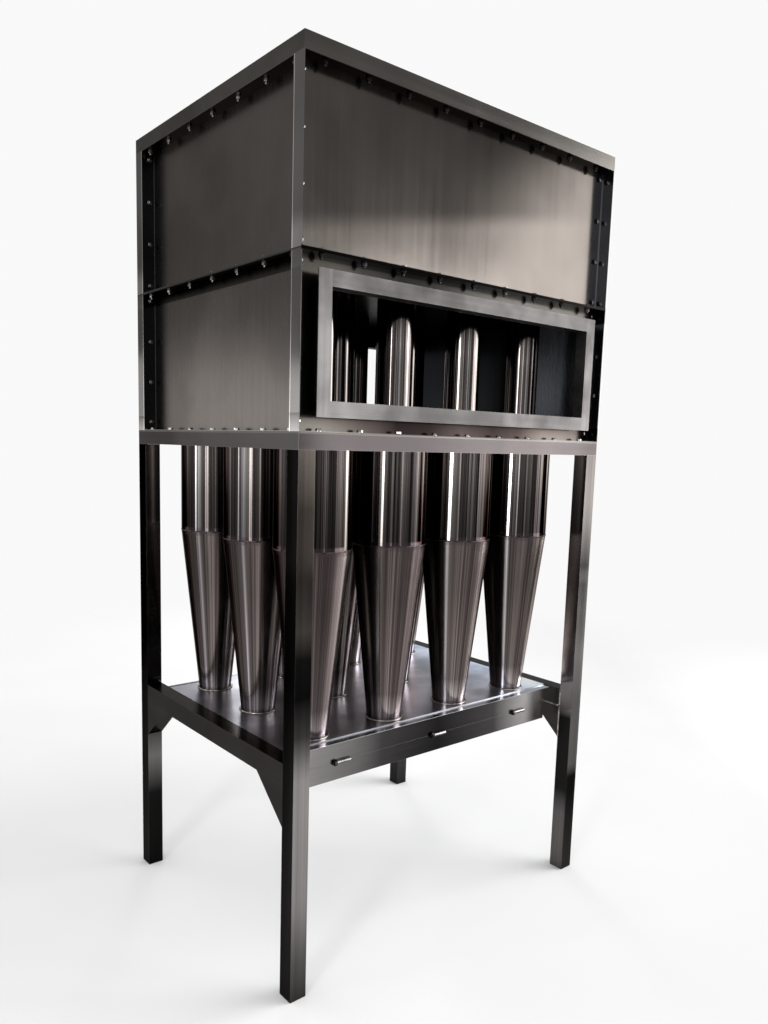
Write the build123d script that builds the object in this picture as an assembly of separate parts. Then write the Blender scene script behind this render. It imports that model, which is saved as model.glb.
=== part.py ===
from build123d import *
import math
import os

# Multi-cyclone dust separator: twelve cyclones hang under a folded sheet steel gas box on four legs.
# X runs along the wide inlet front, Y from the front to the rear and Z up from the floor.
# The origin is on the floor, in the middle between the legs.

# Cyclones stand in a grid of columns along X and rows along Y.
columns = 4
row_names = ["front", "middle", "rear"]
barrel_diameter = 220.0
column_gap = 60.0
row_gap = 56.0
barrel_length = 312.0
cone_tip_diameter = 104.0
cyclone_wall = 2.0
tail_below_plate = 22.0

# Free space between the outer barrels and the top rails, at the sides and at the front and rear.
side_space = 20.0
front_space = 29.0

# Legs are square tubes, closed below by a plate, and the rails above them are as wide.
leg_size = 50.0
leg_length = 1457.0
leg_wall = 3.0
foot_plate = 4.0

# A mitred ring of rails lies on the legs.
top_rail_height = 40.0
top_rail_wall = 3.0

# Two tube sheets close the middle box, below and above.
tube_sheet = 4.0
middle_box_height = 425.0
upper_box_height = 430.0

# Box panels are sheets whose four edges are folded outwards.
panel_sheet = 2.0
panel_flange = 42.0

# The roof is a tray turned upside down, with a lip that lies on the panels' top flanges.
roof_height = 40.0
roof_sheet = 2.0

# Rectangular ports that keep a margin inside their panel, with an angle frame level with its flanges.
port_side_margin = 92.0
port_top_margin = 76.0
port_frame = 40.0
port_frame_sheet = 3.0

# A clean gas tube rises out of each cyclone, through the middle box, with swirl vanes round its foot.
outlet_tube_diameter = 108.0
outlet_tube_wall = 2.0
outlet_tube_in_barrel = 125.0
outlet_tube_above_sheet = 6.0
weld_fit = 0.2
vane_count = 8
vane_height = 40.0
vane_sheet = 2.0
vane_hub_wall = 3.0
vane_angle = 45.0
vane_below_sheet = 12.0
vane_clearance = 0.5

# Hopper plate that ties the cone tips together, let in level between two side rails.
plate_top = 648.0
plate_sheet = 3.0
plate_margin = 17.0
side_rail_height = 60.0
side_rail_wall = 3.0

# Hollow corner braces as wide as the legs, under the side rails.
gusset_reach = 129.0
gusset_drop = 114.0
gusset_sheet = 3.0

# Angles stiffen the front and rear edges of the plate, and a hinged strip hangs from each.
edge_ledge = 28.0
edge_angle_clearance = 5.0
edge_angle_height = 54.0
edge_angle_sheet = 3.0
skirt_leg_gap = 35.0
skirt_height = 52.0
skirt_sheet = 3.0
skirt_joint = 0.5
hinge_radius = 6.0
hinge_length = 56.0
hinge_stand_off = 4.0
hinge_end_inset = 140.0

column_pitch = barrel_diameter + column_gap
row_pitch = barrel_diameter + row_gap
outer_column = (columns - 1) / 2 * column_pitch
outer_row = (len(row_names) - 1) / 2 * row_pitch
half_width = outer_column + barrel_diameter / 2 + side_space + leg_size
half_depth = outer_row + barrel_diameter / 2 + front_space + leg_size
frame_width = 2 * half_width
frame_depth = 2 * half_depth
port_width = frame_width - 2 * port_side_margin
rail_top = leg_length + top_rail_height
middle_base = rail_top + tube_sheet
upper_sheet_base = middle_base + middle_box_height
upper_base = upper_sheet_base + tube_sheet
roof_base = upper_base + upper_box_height
barrel_radius = barrel_diameter / 2
cone_tip_radius = cone_tip_diameter / 2
tube_radius = outlet_tube_diameter / 2
cone_top = rail_top - barrel_length
plate_base = plate_top - plate_sheet
side_rail_base = plate_top - side_rail_height
plate_reach = outer_row + cone_tip_radius + plate_margin
edge_face = plate_reach + edge_ledge
edge_angle_width = edge_ledge + plate_margin - edge_angle_clearance
skirt_half_length = half_width - leg_size - skirt_leg_gap
hinge_spacing = skirt_half_length - hinge_end_inset
turn_of_side = {"front": 0, "right": 90, "rear": 180, "left": 270}

# Grid positions of the cyclone axes, one list of points for each row.
cyclone_axes = {}
for row, row_name in enumerate(row_names):
    y = row * row_pitch - outer_row
    cyclone_axes[row_name] = [(column * column_pitch - outer_column, y) for column in range(columns)]
all_axes = [axis for row_name in row_names for axis in cyclone_axes[row_name]]


def on_side(side, distance, height):
    # Place that looks out of one side of the machine, at a distance from the middle.
    return Rot(0, 0, turn_of_side[side]) * Pos(0, -distance, height)


def block(x_range, y_range, z_range):
    # Box from its lowest to its highest corner.
    size = [high - low for low, high in (x_range, y_range, z_range)]
    middle = [(high + low) / 2 for low, high in (x_range, y_range, z_range)]
    return Pos(*middle) * Box(*size)


def folded_panel(length, height):
    # Sheet with its back on Y = 0 and its foot on Z = 0, edges folded towards -Y.
    tray = block((-length / 2, length / 2), (-panel_flange, 0), (0, height))
    inner_length = length / 2 - panel_sheet
    inner_height = (panel_sheet, height - panel_sheet)
    return tray - block((-inner_length, inner_length), (-2 * panel_flange, -panel_sheet), inner_height)


def port_cut(panel_height):
    # Rectangular hole through a panel, the same distance from its foot and its top.
    half = port_width / 2
    z_range = (port_top_margin, panel_height - port_top_margin)
    return block((-half, half), (-2 * panel_flange, panel_flange), z_range)


def port_flange(panel_height):
    # Neck that stands on the panel's sheet and turns outwards into a flat frame.
    half = port_width / 2
    low = port_top_margin
    high = panel_height - port_top_margin
    outer = port_frame
    wall = port_frame_sheet
    face = -panel_flange
    frame = block((-half - outer, half + outer), (face, face + wall), (low - outer, high + outer))
    neck = block((-half - wall, half + wall), (face, -panel_sheet), (low - wall, high + wall))
    return frame + neck - port_cut(panel_height)


def box_panels(base, height):
    # Front and rear panels run the full width, and the side panels stand between their back faces.
    across = {}
    for side in ("front", "rear"):
        across[side] = on_side(side, half_depth - panel_flange, base) * folded_panel(frame_width, height)
    for side in ("left", "right"):
        side_length = frame_depth - 2 * panel_flange
        across[side] = on_side(side, half_width - panel_flange, base) * folded_panel(side_length, height)
    return across


def tube_plate(base, hole_radius):
    plate = block((-half_width, half_width), (-half_depth, half_depth), (base, base + tube_sheet))
    for x, y in all_axes:
        plate -= Pos(x, y, base + tube_sheet / 2) * Cylinder(hole_radius, 2 * tube_sheet)
    return plate


def mitred_rail(length):
    # Rectangular tube with its outer face on Y = 0 and both ends cut at 45 degrees.
    inner = length / 2 - leg_size
    outline = Polygon((-length / 2, 0), (length / 2, 0), (inner, leg_size), (-inner, leg_size), align=None)
    bar = extrude(outline, top_rail_height)
    wall = top_rail_wall
    hollow = block((-length, length), (wall, leg_size - wall), (wall, top_rail_height - wall))
    return bar - hollow


def leg():
    # Square tube in the corner X > 0, Y > 0, with a closed foot.
    inner = leg_size - leg_wall
    tube = block((0, leg_size), (0, leg_size), (0, leg_length))
    return tube - block((leg_wall, inner), (leg_wall, inner), (foot_plate, 2 * leg_length))


def cyclone_body():
    # Barrel, cone and dust tail turned about Z as one shell.
    outer = [
        (barrel_radius, rail_top),
        (barrel_radius, cone_top),
        (cone_tip_radius, plate_top),
        (cone_tip_radius, plate_base - tail_below_plate),
    ]
    inner = [(radius - cyclone_wall, z) for radius, z in reversed(outer)]
    profile = make_face(Plane.XZ * Polyline(*outer, *inner, close=True))
    return revolve(profile, Axis.Z)


def outlet_tube():
    low = rail_top - outlet_tube_in_barrel
    height = upper_base + outlet_tube_above_sheet - low
    wall = Cylinder(tube_radius, height) - Cylinder(tube_radius - outlet_tube_wall, 2 * height)
    return Pos(0, 0, low + height / 2) * wall


def swirler():
    # Flat vanes set at an angle round a hub ring, cut to the round gap between tube and barrel.
    hub_bore = tube_radius + weld_fit
    hub_radius = hub_bore + vane_hub_wall
    tip_radius = barrel_radius - cyclone_wall - vane_clearance
    root_radius = hub_radius - vane_hub_wall / 2
    flat_vane = Rot(vane_angle, 0, 0) * Box(tip_radius, vane_sheet, 3 * vane_height)
    blade = Pos((root_radius + tip_radius) / 2, 0, 0) * flat_vane
    gap = Cylinder(tip_radius, vane_height) - Cylinder(root_radius, 2 * vane_height)
    ring = Cylinder(hub_radius, vane_height) - Cylinder(hub_bore, 2 * vane_height)
    for turn in range(vane_count):
        ring += (Rot(0, 0, turn * 360 / vane_count) * blade) & gap
    return Pos(0, 0, rail_top - vane_below_sheet - vane_height / 2) * ring


def at_every_axis(shape):
    return Compound(children=[Pos(x, y, 0) * shape for x, y in all_axes])


def hopper_plate():
    half = half_width - leg_size
    plate = block((-half, half), (-plate_reach, plate_reach), (plate_base, plate_top))
    for x, y in all_axes:
        plate -= Pos(x, y, plate_base) * Cylinder(cone_tip_radius + weld_fit, 4 * plate_sheet)
    return plate


def side_rail():
    # Rectangular tube between two legs, with its outer face on Y = 0.
    half = half_depth - leg_size
    tube = block((-half, half), (0, leg_size), (side_rail_base, plate_top))
    wall = side_rail_wall
    inner_height = (side_rail_base + wall, plate_top - wall)
    return tube - block((-2 * half, 2 * half), (wall, leg_size - wall), inner_height)


def edge_angle():
    # Angle under the plate's edge, its face on Y = 0, with the face cut short of the side rails.
    reach = half_width - leg_size
    sheet = edge_angle_sheet
    ledge = block((-reach, reach), (0, edge_angle_width), (plate_base - sheet, plate_base))
    half = skirt_half_length
    return ledge + block((-half, half), (0, sheet), (plate_base - edge_angle_height, plate_base))


def skirt_strip():
    top = plate_base - edge_angle_height - skirt_joint
    return block((-skirt_half_length, skirt_half_length), (0, skirt_sheet), (top - skirt_height, top))


def hinge_knuckles():
    # Three round knuckles with a flat back, welded over the joint between angle and strip.
    height = plate_base - edge_angle_height - skirt_joint / 2
    knuckle = Pos(0, -hinge_stand_off, height) * Rot(0, 90, 0) * Cylinder(hinge_radius, hinge_length)
    back = 2 * hinge_radius
    knuckle -= block((-hinge_length, hinge_length), (0, back), (height - back, height + back))
    return [Pos(step * hinge_spacing, 0, 0) * knuckle for step in (-1, 0, 1)]


def gusset():
    # Folded brace, open towards the leg on Y = 0 and the rail on Z = 0, its outer face on X = 0.
    slope = math.hypot(gusset_reach, gusset_drop)
    inner_share = 1 - gusset_sheet * slope / (gusset_reach * gusset_drop)
    shell = brace_wedge(1.0, leg_size)
    return shell - Pos(gusset_sheet, 0, 0) * brace_wedge(inner_share, leg_size - 2 * gusset_sheet)


def brace_wedge(share, width):
    # Right-angled wedge from X = 0, with a share of the brace's reach and drop.
    corners = [(0, 0), (share * gusset_reach, 0), (0, -share * gusset_drop)]
    return extrude(Plane.YZ * Polygon(*corners, align=None), width, dir=(1, 0, 0))


nodes = {}

corner_legs = {"front_left": (0, 0), "front_right": (1, 0), "rear_left": (0, 1), "rear_right": (1, 1)}
for corner, (right, rear) in corner_legs.items():
    x = half_width - leg_size if right else -half_width
    y = half_depth - leg_size if rear else -half_depth
    nodes["leg_" + corner] = Pos(x, y, 0) * leg()

for side in ("front", "rear"):
    nodes["top_rail_" + side] = on_side(side, half_depth, leg_length) * mitred_rail(frame_width)
for side in ("left", "right"):
    nodes["top_rail_" + side] = on_side(side, half_width, leg_length) * mitred_rail(frame_depth)
    nodes["side_rail_" + side] = on_side(side, half_width, 0) * side_rail()

gussets = []
for left in (True, False):
    for front in (True, False):
        brace = Pos(-half_width, -half_depth + leg_size, side_rail_base) * gusset()
        brace = brace if left else mirror(brace, Plane.YZ)
        gussets.append(brace if front else mirror(brace, Plane.XZ))
nodes["leg_gussets"] = Compound(children=gussets)

nodes["lower_tube_sheet"] = tube_plate(rail_top, barrel_radius - cyclone_wall)
nodes["upper_tube_sheet"] = tube_plate(upper_sheet_base, tube_radius + weld_fit)

for side, panel in box_panels(middle_base, middle_box_height).items():
    nodes["middle_" + side + "_panel"] = panel
for side, panel in box_panels(upper_base, upper_box_height).items():
    nodes["upper_" + side + "_panel"] = panel

# Ports: raw gas enters at the front and rear of the middle box, clean gas leaves at the rear above.
panel_back = half_depth - panel_flange
ports = [
    ("inlet_flange", "middle_front_panel", "front", middle_base, middle_box_height),
    ("rear_inlet_flange", "middle_rear_panel", "rear", middle_base, middle_box_height),
    ("outlet_flange", "upper_rear_panel", "rear", upper_base, upper_box_height),
]
for flange_name, panel_name, side, base, height in ports:
    place = on_side(side, panel_back, base)
    nodes[flange_name] = place * port_flange(height)
    nodes[panel_name] = nodes[panel_name] - place * port_cut(height)

roof = block((-half_width, half_width), (-half_depth, half_depth), (roof_base, roof_base + roof_height))
tray_x = half_width - roof_sheet
tray_y = half_depth - roof_sheet
tray_height = (roof_base + roof_sheet, roof_base + roof_height - roof_sheet)
roof -= block((-tray_x, tray_x), (-tray_y, tray_y), tray_height)
lip_x = half_width - panel_flange
lip_y = half_depth - panel_flange
nodes["roof_cover"] = roof - block((-lip_x, lip_x), (-lip_y, lip_y), (roof_base - 10, roof_base + 10))

body = cyclone_body()
for row_name in row_names:
    for number, (x, y) in enumerate(cyclone_axes[row_name], start=1):
        nodes[f"cyclone_{row_name}_{number}"] = Pos(x, y, 0) * body
nodes["outlet_tubes"] = at_every_axis(outlet_tube())
nodes["swirl_vanes"] = at_every_axis(swirler())

nodes["hopper_plate"] = hopper_plate()
knuckles = []
for side in ("front", "rear"):
    place = on_side(side, edge_face, 0)
    nodes["edge_angle_" + side] = place * edge_angle()
    nodes["skirt_strip_" + side] = place * skirt_strip()
    knuckles += [place * knuckle for knuckle in hinge_knuckles()]
nodes["strip_hinges"] = Compound(children=knuckles)

os.makedirs("parts", exist_ok=True)
for name, shape in nodes.items():
    export_step(shape, f"parts/{name}.step")
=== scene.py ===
import math

import bpy
import numpy as np
from mathutils import Matrix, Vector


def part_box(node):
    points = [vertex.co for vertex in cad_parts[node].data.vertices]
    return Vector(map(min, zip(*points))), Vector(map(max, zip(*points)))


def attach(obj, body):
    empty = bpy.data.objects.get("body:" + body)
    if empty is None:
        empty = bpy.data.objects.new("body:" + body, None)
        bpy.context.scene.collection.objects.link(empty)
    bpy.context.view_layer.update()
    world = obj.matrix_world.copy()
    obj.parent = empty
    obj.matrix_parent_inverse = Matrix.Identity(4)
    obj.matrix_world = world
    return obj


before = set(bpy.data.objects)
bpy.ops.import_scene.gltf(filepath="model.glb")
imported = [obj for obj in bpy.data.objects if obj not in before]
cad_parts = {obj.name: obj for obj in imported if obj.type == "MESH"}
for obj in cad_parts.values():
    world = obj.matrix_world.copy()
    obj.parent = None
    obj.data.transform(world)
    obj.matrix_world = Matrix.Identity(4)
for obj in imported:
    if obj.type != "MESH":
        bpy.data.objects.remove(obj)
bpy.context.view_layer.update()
print("frame loaded:", len(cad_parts), "nodes")


# Four corners of each cell in a grid of points, where either direction may close on itself.
def gridFaces(rows, columns, rowsClosed, columnsClosed):
    rowSteps = np.arange(rows if rowsClosed else rows - 1)
    columnSteps = np.arange(columns if columnsClosed else columns - 1)
    row, column = np.meshgrid(rowSteps, columnSteps, indexing="ij")
    nextRow, nextColumn = (row + 1) % rows, (column + 1) % columns
    corners = [(row, column), (row, nextColumn), (nextRow, nextColumn), (nextRow, column)]
    return np.stack([first * columns + second for first, second in corners], axis=2).reshape(-1, 4)


# The two faces that close a tube of rings at its ends.
def endFaces(rings, sides):
    return np.array([np.arange(sides)[::-1], np.arange(sides) + (rings - 1) * sides])


# A part's faces for each of its copies: the numbers grow by the part's points each time.
def copyFaces(faceBlocks, copies, pointCount):
    starts = np.arange(copies)[:, None, None] * pointCount
    return [(block[None] + starts).reshape(-1, block.shape[1]) for block in faceBlocks]


# A part turned about Z: each point is the station's radius out at its angle, at the station's height. On
# a hexagon that radius is divided by the cosine of the angle to the middle of the nearest flat.
def turnedPart(profile, sides=12):
    angle = np.arange(sides) * 2 * np.pi / sides
    fromFlat = (angle + np.pi / 6) % (np.pi / 3) - np.pi / 6
    radius, height = (np.array([station[part] for station in profile])[:, None] for part in (0, 1))
    hexagon = np.array(["hexagon" in station for station in profile])[:, None]
    reach = np.where(hexagon, radius / np.cos(fromFlat), radius)
    points = np.stack([reach * np.cos(angle), reach * np.sin(angle), height + 0 * angle], axis=2)
    return points.reshape(-1, 3), [gridFaces(len(profile), sides, False, True), endFaces(len(profile), sides)]


# Copies of a part: a point goes to origin + x * across + y * upward + z * direction, where across and
# upward are first turned about the direction by the copy's own spin.
def placedCopies(part, origins, direction, spins):
    points, faceBlocks = part
    forward = np.array(direction, float)
    across = np.cross((0, 0, 1), forward) if abs(forward[2]) < 0.9 else np.array((1.0, 0, 0))
    upward = np.cross(forward, across)
    turn = np.asarray(spins)[:, None]
    first = across * np.cos(turn) + upward * np.sin(turn)
    second = upward * np.cos(turn) - across * np.sin(turn)
    axesOfCopy = np.stack([first, second, np.broadcast_to(forward, first.shape)], axis=1)
    moved = np.einsum("pc,kcd->kpd", points, axesOfCopy) + np.asarray(origins)[:, None, :]
    return moved.reshape(-1, 3), copyFaces(faceBlocks, len(moved), len(points))


# Bead round a cylinder: a closed ring whose section is an ellipse, wide and high, that swells with
# the cosine of the angle times the number of ripples. One ring for each centre.
def ringBeads(centres, bead, segments=96, sides=8):
    around = np.arange(segments)[:, None] * 2 * np.pi / segments
    section = np.arange(sides)[None, :] * 2 * np.pi / sides
    swell = 1 + bead["ripple"] * np.cos(bead["ripples"] * around)
    reach = bead["radius"] + bead["wide"] * swell * np.cos(section)
    height = bead["level"] + bead["high"] * swell * np.sin(section)
    ring = np.stack([reach * np.cos(around), reach * np.sin(around), height], axis=2).reshape(-1, 3)
    offsets = np.array([(x, y, 0) for x, y in centres])
    quads = gridFaces(segments, sides, True, True)[:, ::-1]
    return (ring[None] + offsets[:, None]).reshape(-1, 3), copyFaces([quads], len(offsets), len(ring))


# Bead along straight lines: a round section carried from start to end, whose radius swells with the
# cosine of the distance over the ripple's step and shrinks to a fifth at both ends.
def lineBeads(lines, bead, segments=36, sides=6):
    start, end = lines[:, 0, None, None], lines[:, 1, None, None]
    length = np.linalg.norm(end - start, axis=3, keepdims=True)
    along = (end - start) / length
    upright = np.abs(along[..., 2:]) > 0.9
    first = np.cross(along, np.where(upright, (1.0, 0, 0), (0, 0, 1.0)))
    second = np.cross(along, first)
    share = np.linspace(0, 1, segments)[None, :, None, None]
    section = (np.arange(sides) * 2 * np.pi / sides)[None, None, :, None]
    taper = np.clip(np.minimum(share, 1 - share) * length / bead["radius"], 0.2, 1)
    radius = bead["radius"] * taper * (1 + bead["ripple"] * np.cos(2 * np.pi * share * length / bead["step"]))
    points = start + share * (end - start) + radius * (first * np.cos(section) + second * np.sin(section))
    blocks = [gridFaces(segments, sides, False, True), endFaces(segments, sides)]
    return points.reshape(-1, 3), copyFaces(blocks, len(lines), segments * sides)


# Several shapes as one: each shape's face numbers grow by the number of points before it.
def joinShapes(shapes):
    starts = np.cumsum([0] + [len(points) for points, _ in shapes])
    blocks = [block + start for (_, faceBlocks), start in zip(shapes, starts) for block in faceBlocks]
    return np.concatenate([points for points, _ in shapes]), blocks


# Puts a mesh, lamp or camera into the scene.
def addObject(name, data):
    item = bpy.data.objects.new(name, data)
    bpy.context.scene.collection.objects.link(item)
    return item


# Puts a shape into the scene on the fixed body, smooth except where faces meet at a sharper angle.
def addPiece(name, shape, material, sharpAngle=35):
    points, faceBlocks = shape
    faces = [face for block in faceBlocks for face in block.tolist()]
    mesh = bpy.data.meshes.new(name)
    mesh.from_pydata(points.tolist(), [], faces)
    mesh.update()
    mesh.shade_smooth()
    mesh.set_sharp_from_angle(angle=math.radians(sharpAngle))
    mesh.materials.append(material)
    piece = addObject(name, mesh)
    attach(piece, "root")
    print("piece", name, len(faces), "faces")


# Sets a socket to a number or links another node's output to it.
def plug(tree, value, socket):
    if isinstance(value, bpy.types.NodeSocket):
        tree.links.new(value, socket)
    else:
        socket.default_value = value


# One Math node: the operation on up to three values.
def maths(tree, operation, *values):
    node = tree.nodes.new("ShaderNodeMath")
    node.operation = operation
    for value, socket in zip(values, node.inputs):
        plug(tree, value, socket)
    return node.outputs[0]


# The product of two or more values.
def times(tree, *values):
    product = values[0]
    for value in values[1:]:
        product = maths(tree, "MULTIPLY", product, value)
    return product


# A vector times another, axis by axis.
def stretch(tree, vector, factors):
    node = tree.nodes.new("ShaderNodeVectorMath")
    node.operation = "MULTIPLY"
    plug(tree, vector, node.inputs[0])
    plug(tree, factors, node.inputs[1])
    return node.outputs["Vector"]


# Soft random values between 0 and 1 over a vector times the scale.
def noise(tree, vector, scale=1.0, detail=2.0, roughness=0.5):
    node = tree.nodes.new("ShaderNodeTexNoise")
    plug(tree, vector, node.inputs["Vector"])
    plug(tree, scale, node.inputs["Scale"])
    node.inputs["Detail"].default_value = detail
    node.inputs["Roughness"].default_value = roughness
    return node.outputs["Fac"]


# Carries a value from low..high to newLow..newHigh, held at both ends.
def between(tree, value, low, high, newLow=0.0, newHigh=1.0, smooth=False):
    node = tree.nodes.new("ShaderNodeMapRange")
    node.interpolation_type = "SMOOTHSTEP" if smooth else "LINEAR"
    for number, entry in enumerate((value, low, high, newLow, newHigh)):
        plug(tree, entry, node.inputs[number])
    return node.outputs["Result"]


# The value where the mask is 1, and the other where it is 0.
def where(tree, mask, value, other=1.0):
    return between(tree, mask, 0, 1, other, value)


# 1 where a coordinate is further out than the edge, on either side of the middle.
def outside(tree, coordinate, edge):
    return maths(tree, "GREATER_THAN", maths(tree, "ABSOLUTE", coordinate), edge)


# First colour plus the share of the way to the second.
def blend(tree, share, first, second):
    node = tree.nodes.new("ShaderNodeMix")
    node.data_type = "RGBA"
    plug(tree, share, node.inputs[0])
    for colour, socket in ((first, node.inputs[6]), (second, node.inputs[7])):
        plug(tree, colour if isinstance(colour, bpy.types.NodeSocket) else (*colour, 1.0), socket)
    return node.outputs[2]


# A curve of levels over 0..1 from (place, level) stops; a third number in a stop is the share by which
# its blue is raised and its red lowered.
def levelCurve(tree, value, stops):
    node = tree.nodes.new("ShaderNodeValToRGB")
    plug(tree, value, node.inputs[0])
    elements = node.color_ramp.elements
    for number, (place, level, *cool) in enumerate(stops):
        element = elements[number] if number < 2 else elements.new(place)
        element.position = place
        shift = cool[0] if cool else 0.0
        element.color = (level * (1 - shift), level, level * (1 + shift), 1)
    return node.outputs["Color"]


# A curve of levels over a coordinate, from minus to plus the half width.
def curveAcross(tree, coordinate, halfWidth, stops):
    return levelCurve(tree, between(tree, coordinate, -halfWidth, halfWidth), stops)


# The place on the object, in metres from its origin.
def objectPoint(tree):
    return tree.nodes.new("ShaderNodeTexCoord").outputs["Object"]


# The direction that the surface faces.
def faceNormal(tree):
    return tree.nodes.new("ShaderNodeNewGeometry").outputs["Normal"]


# The X, Y and Z of a vector.
def splitAxes(tree, vector):
    node = tree.nodes.new("ShaderNodeSeparateXYZ")
    tree.links.new(vector, node.inputs[0])
    return node.outputs["X"], node.outputs["Y"], node.outputs["Z"]


# The X, Y and Z of that place.
def objectAxes(tree):
    return splitAxes(tree, objectPoint(tree))


# An empty node group with its named inputs, each with its usual value, and its named outputs.
def startGroup(name, inputs, **outputs):
    group = bpy.data.node_groups.new(name, "ShaderNodeTree")
    for label, value in inputs.items():
        kind = "NodeSocketVector" if isinstance(value, tuple) else "NodeSocketFloat"
        group.interface.new_socket(name=label, in_out="INPUT", socket_type=kind).default_value = value
    for label, kind in outputs.items():
        group.interface.new_socket(name=label, in_out="OUTPUT", socket_type="NodeSocket" + kind)
    return group, group.nodes.new("NodeGroupInput").outputs, group.nodes.new("NodeGroupOutput").inputs


# Places a node group in a material with that material's own values.
def useGroup(tree, group, **values):
    node = tree.nodes.new("ShaderNodeGroup")
    node.node_tree = group
    for label, value in values.items():
        plug(tree, value, node.inputs[label])
    return node.outputs


# Fine brushed lines: noise stretched along the axis with the smallest factor, coarse plus fine.
def makeBrushGrain(coarseScale=0.22, coarseShare=0.6, fineShare=0.4, low=0.3, high=0.7):
    group, given, result = startGroup("brushGrain", {"Stretch": (300, 300, 4)}, Grain="Float")
    stretched = stretch(group, objectPoint(group), given["Stretch"])
    coarse = times(group, noise(group, stretch(group, stretched, (coarseScale,) * 3)), coarseShare)
    fine = times(group, noise(group, stretched, roughness=0.7), fineShare)
    group.links.new(between(group, maths(group, "ADD", coarse, fine), low, high), result["Grain"])
    return group


# Slow changes of tone over a sheet, as uneven polish gives: low to high over soft noise.
def makeSheetTone(low=0.35, high=0.65):
    group, given, result = startGroup("sheetTone", {"Scale": 3.0, "Low": 0.85, "High": 1.15}, Tone="Float")
    cloud = noise(group, objectPoint(group), given["Scale"], detail=3)
    tone = between(group, cloud, low, high, given["Low"], given["High"], smooth=True)
    group.links.new(tone, result["Tone"])
    return group


# Hand marks and dried wipe marks: soft islands of noise times a finer noise.
def makeSmudges(low=0.45, high=0.75, fineScales=(60, 60, 25)):
    group, given, result = startGroup("smudges", {"Scale": 9.0}, Smudge="Float")
    islands = noise(group, objectPoint(group), given["Scale"])
    breakUp = noise(group, stretch(group, objectPoint(group), fineScales), detail=3)
    group.links.new(times(group, between(group, islands, low, high, smooth=True), breakUp), result["Smudge"])
    return group


# A line at one height: 1 where the height is within half the width of it, with a soft border.
def makeHeightLine(outerShare=1.25, innerShare=0.75):
    group, given, result = startGroup("heightLine", {"Level": 1.0, "HalfWidth": 0.0012}, Line="Float")
    height = objectAxes(group)[2]
    away = maths(group, "ABSOLUTE", maths(group, "SUBTRACT", height, given["Level"]))
    share = maths(group, "DIVIDE", away, given["HalfWidth"])
    group.links.new(between(group, share, outerShare, innerShare, smooth=True), result["Line"])
    return group


# Painted highlight on the edges of cut and folded sheet, which also stands for wear: how far the normal
# of a rounded edge turns from the flat one.
def makeEdgeGlintAndWear(low=0.02, high=0.28):
    group, given, result = startGroup("edgeGlintAndWear", {"Radius": 0.0015}, Edge="Float")
    bevel = group.nodes.new("ShaderNodeBevel")
    bevel.samples = 4
    group.links.new(given["Radius"], bevel.inputs["Radius"])
    match = group.nodes.new("ShaderNodeVectorMath")
    match.operation = "DOT_PRODUCT"
    group.links.new(bevel.outputs["Normal"], match.inputs[0])
    group.links.new(faceNormal(group), match.inputs[1])
    turned = maths(group, "SUBTRACT", 1.0, match.outputs["Value"])
    group.links.new(between(group, turned, low, high), result["Edge"])
    return group


# Round each cyclone's own axis: its turn, and a place for streaks, the unit circle with a Z that hardly
# grows with the height and starts elsewhere for each spot in the grid.
def makeAroundAxis(columnPitch, rowPitch, columnStep=7.31, rowStep=3.77, spotReach=9.0, rise=0.02):
    group, given, result = startGroup("aroundAxis", {}, Place="Vector", Turn="Float")
    x, y, z = objectAxes(group)
    shiftedX = maths(group, "SUBTRACT", x, columnPitch / 2)
    localX = maths(group, "WRAP", shiftedX, columnPitch / 2, -columnPitch / 2)
    localY = maths(group, "WRAP", y, rowPitch / 2, -rowPitch / 2)
    turn = maths(group, "ARCTAN2", localY, localX)
    column = times(group, maths(group, "SUBTRACT", x, localX), columnStep)
    row = times(group, maths(group, "SUBTRACT", y, localY), rowStep)
    spot = maths(group, "FRACT", maths(group, "ADD", column, row))
    level = maths(group, "ADD", times(group, z, rise), times(group, spot, spotReach))
    place = group.nodes.new("ShaderNodeCombineXYZ")
    spots = maths(group, "COSINE", turn), maths(group, "SINE", turn), level
    for value, socket in zip(spots, place.inputs):
        group.links.new(value, socket)
    group.links.new(place.outputs[0], result["Place"])
    group.links.new(turn, result["Turn"])
    return group


# Middle of a CAD node in plan.
def axisOf(node):
    low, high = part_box(node)
    return (low.x + high.x) / 2, (low.y + high.y) / 2


cycloneNodes = sorted(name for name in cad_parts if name.startswith("cyclone_"))
cycloneAxes = [axisOf(name) for name in cycloneNodes]
columnPitch = axisOf("cyclone_front_2")[0] - axisOf("cyclone_front_1")[0]
rowPitch = axisOf("cyclone_middle_1")[1] - axisOf("cyclone_front_1")[1]
brushGrain = makeBrushGrain()
sheetTone = makeSheetTone()
smudges = makeSmudges()
heightLine = makeHeightLine()
edgeGlintAndWear = makeEdgeGlintAndWear()
aroundAxis = makeAroundAxis(columnPitch, rowPitch)
print("shader groups ready")

# What every steel starts from.
plainSteel = {
    "colour": (0.062, 0.058, 0.053),
    "factor": 1.0,
    "roughness": 0.26,
    "grainRoughness": 0.03,
    "edgeTint": 0.45,
    "stretch": (260, 260, 3.0),
    "grain": 0.07,
    "grainDepth": 0.000012,
    "toneScale": 2.6,
    "toneLow": 0.86,
    "toneHigh": 1.12,
    "smudge": 0.04,
    "edgeRadius": 0.0012,
    # Edge share and edge colour: a painted highlight along edges, which also stands for wear.
    "edgeShare": 0.4,
    "edgeColour": (0.2, 0.19, 0.18),
    "waveScale": 2.0,
    "wave": 0.0009,
}


# A metal material with its constant values on the shader's own sockets.
def newSteel(name, look):
    material = bpy.data.materials.new(name)
    material.use_nodes = True
    shader = material.node_tree.nodes["Principled BSDF"]
    shader.inputs["Metallic"].default_value = 1.0
    shader.inputs["Specular Tint"].default_value = (look["edgeTint"],) * 3 + (1.0,)
    return material, material.node_tree


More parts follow.
